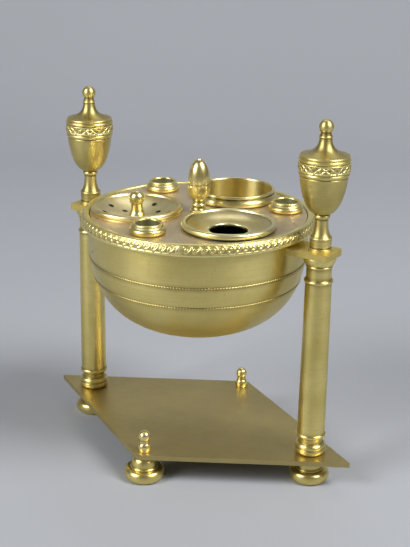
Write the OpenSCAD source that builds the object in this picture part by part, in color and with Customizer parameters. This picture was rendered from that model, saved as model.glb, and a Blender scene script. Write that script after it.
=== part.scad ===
// Desk inkstand of gilt brass. A deep bowl hangs between two columns that stand on a
// lozenge base, and a tray with two wells, a cup and three pen sockets lifts out of it.
// The origin is on the table under the middle of the bowl. X runs along the base and
// +Z is up.

/* [Bowl] */
// Radius of the bowl's outside at its rim
bowl_r = 45; // [44:0.5:56]
// Depth of the rounded part of the bowl
bowl_depth = 43.4; // [36:0.2:55]
// Thickness of the bowl's wall
bowl_wall = 1; // [0.8:0.1:1.3]
// How square the bowl's outline is, where 2 is an ellipse
bowl_square = 2.7; // [2:0.1:3.2]
// How far the chased rim band stands out from the bowl
band_out = 2.8; // [2:0.1:3.2]

/* [Stand] */
// Distance from the bowl's wall to a column's axis
column_gap = 11; // [9:0.2:14]
// Height of a column
column_h = 84.2; // [66:0.2:110]
// Radius of a column's shaft at the bottom
shaft_r = 5.6; // [5:0.1:6.2]
// How much the shaft narrows towards the top
shaft_taper = 0.4; // [0:0.1:0.9]
// Width of a bracket that carries the bowl
bracket_w = 12.8; // [10:0.2:16]
// Thickness of a bracket
bracket_t = 2.5; // [1.6:0.1:3]
// Distance from a column's axis to the tip of the base
base_tip = 18.2; // [13:0.2:24]
// Distance of the front and back feet from the middle
foot_y = 37.9; // [32:0.1:46]
// Distance from a front foot's axis to the point of the base
base_toe = 5.5; // [4.5:0.1:12]
// Thickness of the base
base_t = 2; // [1.6:0.1:3]
// Height of a foot
foot_h = 10.1; // [9.5:0.1:14]
// Radius of a foot's bun
foot_r = 8.3; // [7.4:0.1:10]
// Radius of the long bolts
bolt_r = 1.6; // [1.2:0.1:1.8]

/* [Tray] */
// Thickness of the tray
plate_t = 1; // [0.8:0.1:1.3]
// Inner radius of the pot and the ink well at the mouth
well_r = 15.2; // [12:0.1:15.6]
// Depth of the pot, the ink well and the cup below the tray
well_depth = 24; // [16:0.5:28]
// Wall of the pot and the cup
pot_wall = 0.7; // [0.5:0.1:0.9]
// Wall of the glass ink well below its mouth
glass_wall = 2.1; // [1.4:0.1:3]
// Inner radius of the open cup
cup_r = 15.5; // [12:0.1:15.6]
// Height of the cup's rim over the tray
cup_up = 4.9; // [4.6:0.1:9]
// Radius of the hole in the ink dish
ink_hole_r = 7.6; // [5:0.1:9]
// Radius of a pen socket's bore
socket_bore_r = 4.75; // [3.8:0.05:6]
// Depth of a pen socket below the tray
socket_depth = 22; // [14:0.5:26]
// Angle of the sand pot round the tray
sand_angle = 214; // [208:0.5:216]
// Angle of the ink well round the tray
ink_angle = 331; // [326:0.5:333]
// Angle of the cup round the tray
cup_angle = 87; // [84:0.5:92]
// Angles of the right, left and front pen sockets
socket_angles = [38, 148.5, 270.5]; // [0:0.5:360]
// How far each of them stands back from the tray's edge
socket_insets = [0.8, 0, 0.8]; // [0:0.1:2]

/* [Sand dish] */
// Sag of the dish's floor below its lip
dish_sag = 4.2; // [3:0.1:4.4]
// Radius of one sifting hole
sift_r = 1; // [0.6:0.1:1.1]
// Distances of the sifting holes from the knob
sift_out = [12.6, 13.2, 6.8, 11.9, 8.9, 13.1, 12.6, 12.6, 12.6]; // [6:0.1:13.4]
// Angles of the sifting holes
sift_angles = [183.5, 228.5, 172.5, 89, 50, 19.5, 135, 275, 320]; // [0:0.5:360]

/* [Hidden] */
$fn = 48;
// Clearances: a part that lifts out, a bolt in its hole, a thread and a soldered tube
lift_play = 0.3;
bolt_play = 0.15;
thread_play = 0.05;
solder_play = 0.05;

// Heights over the table
base_top = foot_h + base_t;
column_top = base_top + column_h;
bracket_top = column_top + bracket_t;
// The band's foot clears the brackets, and the tray's top is a little under its crown
band_h = 3.8;
band_foot = bracket_top + 1.8;
plate_top = band_foot + band_h;
// The bowl's rim is under the ledge that the tray rests on
ledge_t = 0.6;
ledge_w = 1.2;
rim_top = plate_top - plate_t - ledge_t;
bowl_mid = rim_top - 3.7;

// Places in plan
column_x = bowl_r + column_gap;
base_half_l = column_x + base_tip;
base_half_w = foot_y + base_toe;
band_seat_r = bowl_r - 0.6;
plate_r = band_seat_r - lift_play;
dish_r = well_r + 3.5;
flange_r = well_r + 2.8;
flange_t = 0.5;
cup_ring_r = cup_r + 2.25;
socket_ring_r = socket_bore_r + 2.35;
well_at = plate_r - dish_r - lift_play;
cup_at = plate_r - cup_ring_r - lift_play;
function socket_at(i) = plate_r - socket_ring_r - lift_play - socket_insets[i];
knob_stud_r = 1;
handle_stud_r = 1.5;
toe_stud_r = 1.5;

// Upright of a bolt in the foot: the head sits in a recess under the foot
bolt_head_r = bolt_r * 2;
bolt_head_h = 1.8;
bolt_recess = 3.4;
thread_len = 5.5;

// Points of an arc about c, from angle a0 to angle a1
function arc(c, r, a0, a1, n = 8) =
    [for (i = [0:n]) let (a = a0 + (a1 - a0) * i / n) c + r * [cos(a), sin(a)]];

// Points of a curve from p0 to p2 that heads for p1
function bend(p0, p1, p2, n = 8) =
    [for (i = [0:n]) let (t = i / n) p0 * (1 - t) * (1 - t) + p1 * 2 * t * (1 - t) + p2 * t * t];

// Points of a curve from p0 to p3 with two guides
function sweep(p0, p1, p2, p3, n = 12) =
    [for (i = [0:n]) let (t = i / n, s = 1 - t)
        p0 * s * s * s + p1 * 3 * s * s * t + p2 * 3 * s * t * t + p3 * t * t * t];

// Outline of the bowl from its bottom to the start of the straight wall
function bowl_line(r, depth, n = 24) =
    [for (i = [0:n]) let (a = 90 * i / n)
        [r * pow(sin(a), 2 / bowl_square), bowl_mid - depth * pow(cos(a), 2 / bowl_square)]];

// Radius of the bowl's outside at height z
function bowl_at(z) =
    bowl_r * pow(1 - pow((bowl_mid - z) / bowl_depth, bowl_square), 1 / bowl_square);

// A polar place in plan, at height z
function around(angle, r, z) = [r * cos(angle), r * sin(angle), z];

// A turned piece from its half outline
module turned(points) {
    rotate_extrude($fn = 96) polygon(points);
}

// Lozenge base with a hole over each foot
module base_plate() {
    color("darkgoldenrod")
    difference() {
        translate([0, 0, foot_h])
            linear_extrude(base_t)
                polygon([[base_half_l, 0], [0, base_half_w], [-base_half_l, 0], [0, -base_half_w]]);
        for (x = [-column_x, column_x])
            translate([x, 0, foot_h - 1]) cylinder(r = bolt_r + bolt_play, h = base_t + 2);
        for (y = [-foot_y, foot_y])
            translate([0, y, foot_h - 1]) cylinder(r = toe_stud_r + bolt_play, h = base_t + 2);
    }
}

// Half outline of a foot's outside: a bun, a thin ring and a dome
function foot_line() = let (
    bun = foot_h * 0.49,
    dome_r = foot_r - 2.9
) concat(
    bend([foot_r - 1.6, 0], [foot_r - 0.1, 0.5], [foot_r, bun * 0.5], 10),
    bend([foot_r, bun * 0.5], [foot_r - 0.1, bun], [foot_r - 1.9, bun], 10),
    arc([dome_r, bun + 0.4], 0.4, -60, 80, 6),
    bend([dome_r - 0.1, bun + 1], [dome_r - 0.2, foot_h - 0.4], [dome_r - 2.3, foot_h], 12)
);

// Foot under a column: the long bolt's head sits in its recess
module bolted_foot() {
    turned(concat(
        [[bolt_head_r + lift_play, bolt_recess], [bolt_head_r + lift_play, 0]],
        foot_line(),
        [[bolt_r + bolt_play, foot_h], [bolt_r + bolt_play, bolt_recess]]
    ));
}

// Foot under a base knob: the knob's stud screws into it
module toe_foot() {
    hole_floor = foot_h - 7.5;
    turned(concat(
        [[0, hole_floor], [0, 0]],
        foot_line(),
        [[toe_stud_r + thread_play, foot_h], [toe_stud_r + thread_play, hole_floor]]
    ));
}

module foot_left() { color("goldenrod") translate([-column_x, 0, 0]) bolted_foot(); }
module foot_right() { color("goldenrod") translate([column_x, 0, 0]) bolted_foot(); }
module foot_front() { color("goldenrod") translate([0, -foot_y, 0]) toe_foot(); }
module foot_back() { color("goldenrod") translate([0, foot_y, 0]) toe_foot(); }

// Knob of a ball on a swelling foot, with its stud through the base into the foot below
module base_knob() {
    ball = 2.45;
    ball_z = 6.4;
    turned(concat(
        [[0, -base_t - 7], [toe_stud_r, -base_t - 7], [toe_stud_r, 0]],
        bend([2.5, 0], [3.1, 2.1], [2, 3.4]),
        arc([0, ball_z], ball, -39, 90, 12)
    ));
}

module base_knob_front() { color("gold") translate([0, -foot_y, base_top]) base_knob(); }
module base_knob_back() { color("gold") translate([0, foot_y, base_top]) base_knob(); }

// Long bolt from the foot's recess into the urn's foot
module bolt() {
    end_z = bracket_top + thread_len;
    turned([
        [0, bolt_recess - bolt_head_h], [bolt_head_r, bolt_recess - bolt_head_h],
        [bolt_head_r, bolt_recess], [bolt_r, bolt_recess], [bolt_r, end_z], [0, end_z]
    ]);
}

module bolt_left() { color("dimgray") translate([-column_x, 0, 0]) bolt(); }
module bolt_right() { color("dimgray") translate([column_x, 0, 0]) bolt(); }

// Turned column: a swelling base, a ring, a shaft that narrows upwards, and a capital
module column() {
    bore = bolt_r + bolt_play;
    cap = column_h;
    shaft_foot = 9.6;
    shaft_end = cap - 10.9;
    shaft = [for (i = [0:6]) let (u = i / 6)
        [shaft_r - shaft_taper * pow(u, 1.4), shaft_foot + (shaft_end - shaft_foot) * u]];
    turned(concat(
        [[bore, cap], [bore, 0]],
        arc([shaft_r - 1.1, 1.8], 1.8, -90, 22, 12),
        arc([shaft_r - 0.9, 3.6], 1.45, -28, 78, 10),
        bend([shaft_r - 0.7, 5.2], [shaft_r - 1, 5.9], [shaft_r - 0.5, 7.5]),
        arc([shaft_r - 0.35, 8.5], 0.85, -60, 70),
        shaft,
        arc([shaft_r - 0.6, cap - 9.8], 0.75, -70, 70),
        [[shaft_r - 0.65, cap - 8.9], [shaft_r - 0.65, cap - 4.3]],
        arc([shaft_r - 0.7, cap - 3.75], 0.45, -70, 70, 6),
        bend([shaft_r - 0.5, cap - 3.2], [shaft_r + 0.8, cap - 2.6], [shaft_r + 0.8, cap - 0.5]),
        [[shaft_r + 0.8, cap]]
    ));
}

module column_left() { color("goldenrod") translate([-column_x, 0, base_top]) column(); }
module column_right() { color("goldenrod") translate([column_x, 0, base_top]) column(); }

// Flat bracket from the bowl's wall over a column, its inner end curved to the wall
module bracket() {
    end = column_x + bracket_w / 2;
    corner = 1;
    half = bracket_w / 2;
    difference() {
        translate([0, 0, column_top])
            linear_extrude(bracket_t)
                polygon(concat(
                    [[bowl_r - 2 * bowl_wall, half], [bowl_r - 2 * bowl_wall, -half]],
                    arc([end - corner, corner - half], corner, -90, 0, 4),
                    arc([end - corner, half - corner], corner, 0, 90, 4)
                ));
        translate([0, 0, column_top - 1]) cylinder(r = bowl_r, h = bracket_t + 2);
        translate([column_x, 0, column_top - 1]) cylinder(r = bolt_r + bolt_play, h = bracket_t + 2);
    }
}

module bracket_left() { color("goldenrod") rotate([0, 0, 180]) bracket(); }
module bracket_right() { color("goldenrod") bracket(); }

// Heights in the urn, from the bracket's top
urn_body_z = 14.6;
urn_ring_z = 29.5;
urn_band_z = 31.5;
urn_band_h = 3.4;
urn_h = 36.5;
urn_band_r = 9.95;
urn_seat_r = 9.4;
urn_socket_r = 7.05;
urn_socket_d = 3;

// Urn on top of a column: foot, stem, ovoid body and two mouldings with the band's seat between
module urn() {
    bolt_hole = bolt_r + thread_play;
    turned(concat(
        [[0, thread_len + 0.5], [bolt_hole, thread_len + 0.5], [bolt_hole, 0], [4.6, 0], [4.6, 1]],
        [[4, 1.3], [4, 1.6], [4.2, 1.9], [4.25, 4.6]],
        arc([3.95, 5.1], 0.45, -50, 60, 6),
        sweep([3.9, 5.7], [3, 6.9], [2.5, 9.2], [2.55, 12.4], 8),
        arc([2.2, 13.6], 1, -60, 60),
        sweep([3, urn_body_z], [6.3, 15.6], [8.5, 21.5], [9.25, urn_ring_z - 0.2], 14),
        arc([8.75, (urn_ring_z + urn_band_z) / 2], 1, -75, 75),
        [[urn_seat_r, urn_band_z], [urn_seat_r, urn_band_z + urn_band_h]],
        arc([9.05, urn_h - 0.8], 0.8, -60, 90),
        [[urn_socket_r, urn_h], [urn_socket_r, urn_h - urn_socket_d], [0, urn_h - urn_socket_d]]
    ));
}

module urn_left() { color("goldenrod") translate([-column_x, 0, bracket_top]) urn(); }
module urn_right() { color("goldenrod") translate([column_x, 0, bracket_top]) urn(); }

// Rolled lattice strip in the urn's seat
module urn_band() {
    turned([
        [urn_seat_r, urn_band_z], [urn_band_r, urn_band_z],
        [urn_band_r, urn_band_z + urn_band_h], [urn_seat_r, urn_band_z + urn_band_h]
    ]);
}

module urn_band_left() { color("khaki") translate([-column_x, 0, bracket_top]) urn_band(); }
module urn_band_right() { color("khaki") translate([column_x, 0, bracket_top]) urn_band(); }

// Cover of the urn: spigot, rim, a slope that rises to a slim neck, collar and ball
module urn_cover() {
    spigot_r = urn_socket_r - thread_play;
    ball = 2.8;
    ball_z = 11.4;
    turned(concat(
        [[0, -urn_socket_d + 0.2], [spigot_r, -urn_socket_d + 0.2], [spigot_r, 0]],
        arc([9.05, 0.5], 0.5, -90, 80, 6),
        sweep([8.8, 1.05], [5, 2], [2.9, 3], [2.4, 7], 12),
        arc([2.1, 7.7], 0.5, -60, 70, 6),
        [[2.1, 8.5]],
        arc([0, ball_z], ball, -46, 90, 12)
    ));
}

module urn_cover_left() {
    color("goldenrod") translate([-column_x, 0, bracket_top + urn_h]) urn_cover();
}
module urn_cover_right() {
    color("goldenrod") translate([column_x, 0, bracket_top + urn_h]) urn_cover();
}

// Spun bowl with two milled lines round it
bead_r = 0.35;
bead_heights = [bowl_mid - 12.2, bowl_mid - 20.9];
module bowl() {
    color("goldenrod")
    union() {
        turned(concat(
            bowl_line(bowl_r, bowl_depth),
            [[bowl_r, rim_top], [bowl_r - bowl_wall, rim_top]],
            [for (p = [for (i = [0:24]) bowl_line(bowl_r - bowl_wall, bowl_depth - bowl_wall)[24 - i]]) p]
        ));
        for (z = bead_heights)
            rotate_extrude($fn = 96) translate([bowl_at(z) - 0.1, z]) circle(bead_r, $fn = 16);
    }
}

// Chased band round the rim: it caps the bowl's edge and holds the ledge for the tray
module rim_band() {
    out = bowl_r + band_out;
    crown = plate_top + 0.75;
    ledge_r = plate_r - ledge_w;
    color("khaki")
    turned(concat(
        [[bowl_r, band_foot], [out - 0.2, band_foot], [out, band_foot + 0.3]],
        sweep([out, band_foot + 0.8], [out, band_foot + 3], [bowl_r + 2, crown], [bowl_r + 0.6, crown], 10),
        [[bowl_r - 0.3, plate_top + 0.6], [band_seat_r, plate_top + 0.1]],
        [[band_seat_r, plate_top - plate_t], [ledge_r, plate_top - plate_t]],
        [[ledge_r, rim_top], [bowl_r, rim_top]]
    ));
}

// Hole through the tray
module tray_hole(angle, at, r) {
    translate(around(angle, at, plate_top - plate_t - 1)) cylinder(r = r, h = plate_t + 2, $fn = 96);
}

// Tray: a disc with holes for the wells, the cup, the sockets and the handle
module top_plate() {
    color("tan")
    difference() {
        translate([0, 0, plate_top - plate_t]) cylinder(r = plate_r, h = plate_t, $fn = 96);
        tray_hole(sand_angle, well_at, well_r + pot_wall + lift_play);
        tray_hole(ink_angle, well_at, well_r + pot_wall + lift_play);
        tray_hole(cup_angle, cup_at, cup_r + pot_wall + lift_play);
        for (i = [0:2])
            tray_hole(socket_angles[i], socket_at(i), socket_bore_r + 0.6 + solder_play);
        tray_hole(0, 0, handle_stud_r + bolt_play);
    }
}

// Acorn handle in the middle of the tray, with its stud
module handle() {
    nut_room = plate_t + 3.4;
    color("gold")
    translate([0, 0, plate_top])
    turned(concat(
        [[0, -nut_room], [handle_stud_r, -nut_room], [handle_stud_r, 0], [3.6, 0], [3.6, 0.7]],
        bend([3.2, 1], [2.3, 1.4], [2.4, 2.6], 5),
        arc([2.3, 3.3], 0.7, -60, 60, 6),
        bend([2.4, 4], [2, 4.5], [2.7, 5.2], 5),
        sweep([2.9, 5.4], [4.1, 6.6], [4.6, 8.4], [4.65, 11.7], 8),
        sweep([4.4, 11.8], [4.7, 15.4], [3.6, 20.6], [0, 22], 14)
    ));
}

// Hexagonal nut that holds the handle from below
module handle_nut() {
    color("dimgray")
    translate([0, 0, plate_top - plate_t - 2.2])
    difference() {
        cylinder(r = 3.2, h = 2.2, $fn = 6);
        translate([0, 0, -1]) cylinder(r = handle_stud_r + thread_play, h = 4.2);
    }
}

// Pen socket: a closed tube under the tray, with a bulged ring and a rolled lip over it
module pen_socket(i) {
    tube_r = socket_bore_r + 0.6;
    bottom = 0.8;
    lip_z = 3.75;
    translate(around(socket_angles[i], socket_at(i), plate_top))
    turned(concat(
        [[0, -socket_depth], [tube_r, -socket_depth], [tube_r, 0]],
        arc([socket_ring_r - 1.4, 1.4], 1.4, -90, 65, 12),
        arc([socket_bore_r + 0.6, lip_z], 0.6, -50, 180, 12),
        [[socket_bore_r, bottom - socket_depth], [0, bottom - socket_depth]]
    ));
}

module pen_socket_right() { color("goldenrod") pen_socket(0); }
module pen_socket_left() { color("goldenrod") pen_socket(1); }
module pen_socket_front() { color("goldenrod") pen_socket(2); }

// Brass sand pot, hung in the tray by its flange
module sand_pot() {
    bottom = 0.8;
    outer = well_r + pot_wall;
    color("darkkhaki")
    translate(around(sand_angle, well_at, plate_top))
    turned([
        [0, -well_depth], [outer, -well_depth], [outer, 0], [flange_r, 0], [flange_r, flange_t],
        [well_r, flange_t], [well_r, bottom - well_depth], [0, bottom - well_depth]
    ]);
}

// Lip shared by the two dishes, from the seat on the flange to the inner edge
dish_lip_r = well_r + 1.3;
dish_lip_z = 2.1;
dish_roll = 1.2;
dish_t = 0.8;
spigot_r = well_r - lift_play;
function dish_lip() = concat(
    [[spigot_r, flange_t], [dish_r - dish_roll, flange_t]],
    arc([dish_r - dish_roll, flange_t + dish_roll], dish_roll, -90, 125, 14),
    [[dish_lip_r, dish_lip_z]]
);

// Height of the sand dish's floor at radius r, over the tray
dish_sphere = (dish_lip_r * dish_lip_r + dish_sag * dish_sag) / (2 * dish_sag);
function floor_at(r) =
    dish_lip_z - dish_sag + dish_sphere - sqrt(dish_sphere * dish_sphere - r * r);

// Sifting dish that covers the sand pot
module sand_dish() {
    steps = 12;
    color("khaki")
    translate(around(sand_angle, well_at, plate_top))
    difference() {
        turned(concat(
            [for (i = [0:steps]) let (r = knob_stud_r + (spigot_r - knob_stud_r) * i / steps)
                [r, min(floor_at(r) - dish_t, flange_t - 0.3)]],
            dish_lip(),
            [for (i = [1:steps]) let (r = dish_lip_r + (knob_stud_r - dish_lip_r) * i / steps)
                [r, floor_at(r)]]
        ));
        for (i = [0:len(sift_out) - 1])
            translate(around(sift_angles[i], sift_out[i], -6)) cylinder(r = sift_r, h = 12);
    }
}

// Knob of the sand dish, riveted through its floor
module sand_knob() {
    foot_z = floor_at(3.2);
    ball = 3.15;
    ball_z = foot_z + 7.4;
    rivet = floor_at(0) - dish_t;
    color("gold")
    translate(around(sand_angle, well_at, plate_top))
    turned(concat(
        [[0, rivet - 0.4], [knob_stud_r, rivet - 0.4], [knob_stud_r, foot_z], [3.2, foot_z]],
        bend([3.2, foot_z + 1.2], [2.35, foot_z + 2.2], [2.3, foot_z + 4.4]),
        arc([0, ball_z], ball, -40, 90, 12)
    ));
}

// Glass ink well, hung in the tray by its flange, with a wide mouth for the dish
module ink_well() {
    outer = well_r + pot_wall;
    inner = outer - glass_wall;
    mouth = 3;
    color("darkslategray")
    translate(around(ink_angle, well_at, plate_top))
    turned([
        [0, -well_depth], [outer, -well_depth], [outer, 0], [flange_r, 0], [flange_r, flange_t],
        [well_r, flange_t], [well_r, -mouth], [inner, -mouth - 1],
        [inner, glass_wall - well_depth], [0, glass_wall - well_depth]
    ]);
}

// Funnel dish with a dipping hole, which covers the ink well
module ink_dish() {
    hole_z = -0.35;
    turn_r = ink_hole_r + 1;
    color("khaki")
    translate(around(ink_angle, well_at, plate_top))
    turned(concat(
        bend([ink_hole_r, hole_z - 1.3], [turn_r + 3.4, hole_z - 1.2], [spigot_r, flange_t - 0.3]),
        dish_lip(),
        bend([dish_lip_r, dish_lip_z], [dish_lip_r - 3.5, hole_z + 0.1], [turn_r, hole_z], 12),
        [[ink_hole_r + 0.3, hole_z - 0.15], [ink_hole_r, hole_z - 0.5]]
    ));
}

// Open cup with one broad moulding on the tray and a rolled rim
module cup() {
    bottom = 0.8;
    corner = 1.6;
    outer = cup_r + pot_wall;
    color("goldenrod")
    translate(around(cup_angle, cup_at, plate_top))
    turned(concat(
        [[0, -well_depth]],
        arc([outer - corner, corner - well_depth], corner, -90, 0, 8),
        [[outer, 0]],
        arc([cup_ring_r - 1.6, 1.65], 1.6, -70, 85, 12),
        [[outer + 0.05, cup_up - 1.5], [outer + 0.05, cup_up - 1.15]],
        arc([cup_r + 0.6, cup_up - 0.6], 0.6, -45, 180, 12),
        [[cup_r, bottom + 1 - well_depth], [cup_r - 1, bottom - well_depth], [0, bottom - well_depth]]
    ));
}

base_plate();
foot_left();
foot_right();
foot_front();
foot_back();
base_knob_front();
base_knob_back();
bolt_left();
bolt_right();
column_left();
column_right();
bracket_left();
bracket_right();
urn_left();
urn_right();
urn_band_left();
urn_band_right();
urn_cover_left();
urn_cover_right();
bowl();
rim_band();
top_plate();
handle();
handle_nut();
pen_socket_right();
pen_socket_left();
pen_socket_front();
sand_pot();
sand_dish();
sand_knob();
ink_well();
ink_dish();
cup();
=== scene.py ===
"""Desk inkstand of gilt brass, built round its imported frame.

Every turned piece is rebuilt finely from the outline that its solid has, and the
chased bands, the milled lines and the sifting holes are cut into its mesh.
Outlines are in millimetres, as half sections: radius, then height.
"""

import math

import bpy
import numpy as np
from bpy.props import (
    FloatProperty,
    FloatVectorProperty,
    IntProperty,
    PointerProperty,
)
from mathutils import Matrix, Vector


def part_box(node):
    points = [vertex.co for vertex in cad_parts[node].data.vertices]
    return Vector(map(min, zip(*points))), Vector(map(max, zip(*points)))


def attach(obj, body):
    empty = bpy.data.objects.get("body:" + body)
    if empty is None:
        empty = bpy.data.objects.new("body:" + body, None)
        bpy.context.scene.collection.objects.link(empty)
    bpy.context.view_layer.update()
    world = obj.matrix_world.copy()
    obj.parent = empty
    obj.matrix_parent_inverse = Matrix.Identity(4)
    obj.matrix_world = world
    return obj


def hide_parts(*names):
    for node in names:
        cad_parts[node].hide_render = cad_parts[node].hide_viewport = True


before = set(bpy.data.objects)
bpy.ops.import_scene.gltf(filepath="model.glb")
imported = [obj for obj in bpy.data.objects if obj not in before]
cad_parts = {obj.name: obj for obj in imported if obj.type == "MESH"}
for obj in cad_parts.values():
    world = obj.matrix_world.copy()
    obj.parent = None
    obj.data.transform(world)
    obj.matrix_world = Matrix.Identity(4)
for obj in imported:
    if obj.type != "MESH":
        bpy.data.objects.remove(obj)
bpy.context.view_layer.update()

bl_info = {
    "name": "Desk Inkstand",
    "version": (1, 0, 0),
    "blender": (4, 5, 0),
    "location": "3D View > Sidebar > Inkstand",
    "description": "Builds a gilt brass desk inkstand with a lift-out tray",
    "category": "Add Mesh",
}

MM = 0.001


# Places that come from the frame, in millimetres


def middle(node):
    """Middle of a node's box in plan, in millimetres."""
    low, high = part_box(node)
    return (low.x + high.x) / 2 / MM, (low.y + high.y) / 2 / MM


def bottom(node):
    """Height of a node's underside, in millimetres."""
    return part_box(node)[0].z / MM


def top(node):
    """Height of a node's top, in millimetres."""
    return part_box(node)[1].z / MM


def half_width(node):
    """Half of a node's width along X, in millimetres."""
    low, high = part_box(node)
    return (high.x - low.x) / 2 / MM


FOOT_H = top("foot_front")
BASE_TOP = top("base_plate")
COLUMN_H = top("column_left") - BASE_TOP
BRACKET_TOP = top("bracket_left")
PLATE_TOP = top("top_plate")
PLATE_T = PLATE_TOP - bottom("top_plate")
BOWL_R = half_width("bowl")
BAND_R = half_width("rim_band")


class InkstandSizes(bpy.types.PropertyGroup):
    """Small sizes of the finish, which the solids leave plain."""

    edge_round: FloatProperty(
        name="Edge rounding",
        description="Radius left on turned corners by polishing",
        default=0.14 * MM,
        unit="LENGTH",
        min=0.0,
    )
    chase_depth: FloatProperty(
        name="Chasing depth",
        description="Depth of the relief on the rim band",
        default=0.22 * MM,
        unit="LENGTH",
        min=0.0,
    )
    lattice_depth: FloatProperty(
        name="Lattice depth",
        description="Depth of the relief on the urn bands",
        default=0.22 * MM,
        unit="LENGTH",
        min=0.0,
    )
    rim_leaves: IntProperty(
        name="Rim leaves",
        description="Number of leaves round the rim band",
        default=94,
        min=12,
    )
    urn_leaves: IntProperty(
        name="Urn leaves",
        description="Number of leaves round an urn band",
        default=21,
        min=6,
    )
    milled_teeth: IntProperty(
        name="Milled teeth",
        description="Number of teeth in each milled line of the bowl",
        default=240,
        min=40,
    )


class InkstandColours(bpy.types.PropertyGroup):
    """Colours of the metals, the glass and the backdrop."""

    gilt: FloatVectorProperty(
        name="Gilt",
        description="Satin gilding of the turned pieces",
        default=(0.83, 0.70, 0.27),
        subtype="COLOR",
        size=3,
    )
    gilt_worn: FloatVectorProperty(
        name="Worn gilt",
        description="Greener tone where the gilding is thin",
        default=(0.67, 0.55, 0.18),
        subtype="COLOR",
        size=3,
    )
    bright: FloatVectorProperty(
        name="Bright gilt",
        description="Polished handle and knobs",
        default=(0.90, 0.77, 0.38),
        subtype="COLOR",
        size=3,
    )
    plate: FloatVectorProperty(
        name="Tray",
        description="Grey brown brass of the tray",
        default=(0.68, 0.57, 0.38),
        subtype="COLOR",
        size=3,
    )
    base: FloatVectorProperty(
        name="Base",
        description="Dull brushed brass of the base",
        default=(0.58, 0.47, 0.20),
        subtype="COLOR",
        size=3,
    )
    dish: FloatVectorProperty(
        name="Dish",
        description="Pale worn gilding of the two dishes",
        default=(0.95, 0.84, 0.50),
        subtype="COLOR",
        size=3,
    )
    cup: FloatVectorProperty(
        name="Cup",
        description="Pale clean gilding of the cup and the sand pot",
        default=(0.80, 0.72, 0.37),
        subtype="COLOR",
        size=3,
    )
    # Tarnish and painted shade: this brown darkens every hollow, groove and relief
    # valley, and colours the specks
    tarnish_and_shade: FloatVectorProperty(
        name="Tarnish",
        description="Brown film that stays in the corners",
        default=(0.12, 0.085, 0.035),
        subtype="COLOR",
        size=3,
    )
    # Painted shade: this near black darkens the rims of the sifting holes and the
    # dish's underside, and colours its specks
    dark_tarnish_and_shade: FloatVectorProperty(
        name="Dark tarnish",
        description="Near black film in the sifting holes",
        default=(0.04, 0.03, 0.02),
        subtype="COLOR",
        size=3,
    )
    patina: FloatVectorProperty(
        name="Patina",
        description="Grey green film inside the pen sockets",
        default=(0.42, 0.48, 0.38),
        subtype="COLOR",
        size=3,
    )
    stain: FloatVectorProperty(
        name="Stain",
        description="Small dark stains on the bowl and the tray",
        default=(0.03, 0.025, 0.02),
        subtype="COLOR",
        size=3,
    )
    iron: FloatVectorProperty(
        name="Iron",
        description="Dark iron of the bolts and the handle's nut",
        default=(0.10, 0.09, 0.08),
        subtype="COLOR",
        size=3,
    )
    glass: FloatVectorProperty(
        name="Glass",
        description="Green bottle glass of the ink well",
        default=(0.02, 0.05, 0.035),
        subtype="COLOR",
        size=3,
    )
    ink: FloatVectorProperty(
        name="Ink",
        description="Dried ink inside the glass",
        default=(0.006, 0.008, 0.02),
        subtype="COLOR",
        size=3,
    )
    backdrop: FloatVectorProperty(
        name="Backdrop",
        description="Blue grey paper under and behind the inkstand",
        default=(0.365, 0.385, 0.425),
        subtype="COLOR",
        size=3,
    )


class InkstandLight(bpy.types.PropertyGroup):
    """Camera and studio light."""

    lens: FloatProperty(
        name="Lens",
        description="Focal length on a 36 mm sensor",
        default=74.61,
        min=10.0,
    )
    room: FloatProperty(
        name="Room light",
        description="Strength of the even light of the room",
        default=0.16,
        min=0.0,
    )
    left_power: FloatProperty(
        name="Left softbox",
        description="Power of the softbox on the left",
        default=16.0,
        unit="POWER",
        min=0.0,
    )
    right_power: FloatProperty(
        name="Right softbox",
        description="Power of the softbox on the right",
        default=19.5,
        unit="POWER",
        min=0.0,
    )
    back_power: FloatProperty(
        name="Back softbox",
        description="Power of the softbox high behind the piece",
        default=1.3,
        unit="POWER",
        min=0.0,
    )


# Outlines

SAME_PLACE = 1e-4
ON_AXIS = 1e-6
TINY = 1e-9
# Gains of the tarnish film with painted shade in hollows, and of the wear on convex
# edges
FILM_AND_SHADE_GAIN = 5.0
WEAR_GAIN = 4.0
FILM_AND_SHADE_OVER_WEAR = 0.5


def arc(centre, radius, start, end, steps=8):
    """Points of an arc, with angles in degrees."""
    points = []
    for i in range(steps + 1):
        a = math.radians(start + (end - start) * i / steps)
        points.append(
            (centre[0] + radius * math.cos(a), centre[1] + radius * math.sin(a))
        )
    return points


def bend(p0, p1, p2, steps=8):
    """Points of a curve from p0 to p2 that heads for p1."""
    points = []
    for i in range(steps + 1):
        t = i / steps
        s = 1 - t
        points.append(
            tuple(a * s * s + b * 2 * s * t + c * t * t for a, b, c in zip(p0, p1, p2))
        )
    return points


def sweep(p0, p1, p2, p3, steps=12):
    """Points of a curve from p0 to p3 with two guides."""
    points = []
    for i in range(steps + 1):
        t = i / steps
        s = 1 - t
        points.append(
            tuple(
                a * s**3 + b * 3 * s * s * t + c * 3 * s * t * t + d * t**3
                for a, b, c, d in zip(p0, p1, p2, p3)
            )
        )
    return points


def without_repeats(points, closed):
    """Points with no two neighbours at the same place."""
    kept = []
    for p in points:
        if not kept or math.dist(p, kept[-1]) > SAME_PLACE:
            kept.append(p)
    if closed and math.dist(kept[0], kept[-1]) < SAME_PLACE:
        kept.pop()
    return kept


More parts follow.
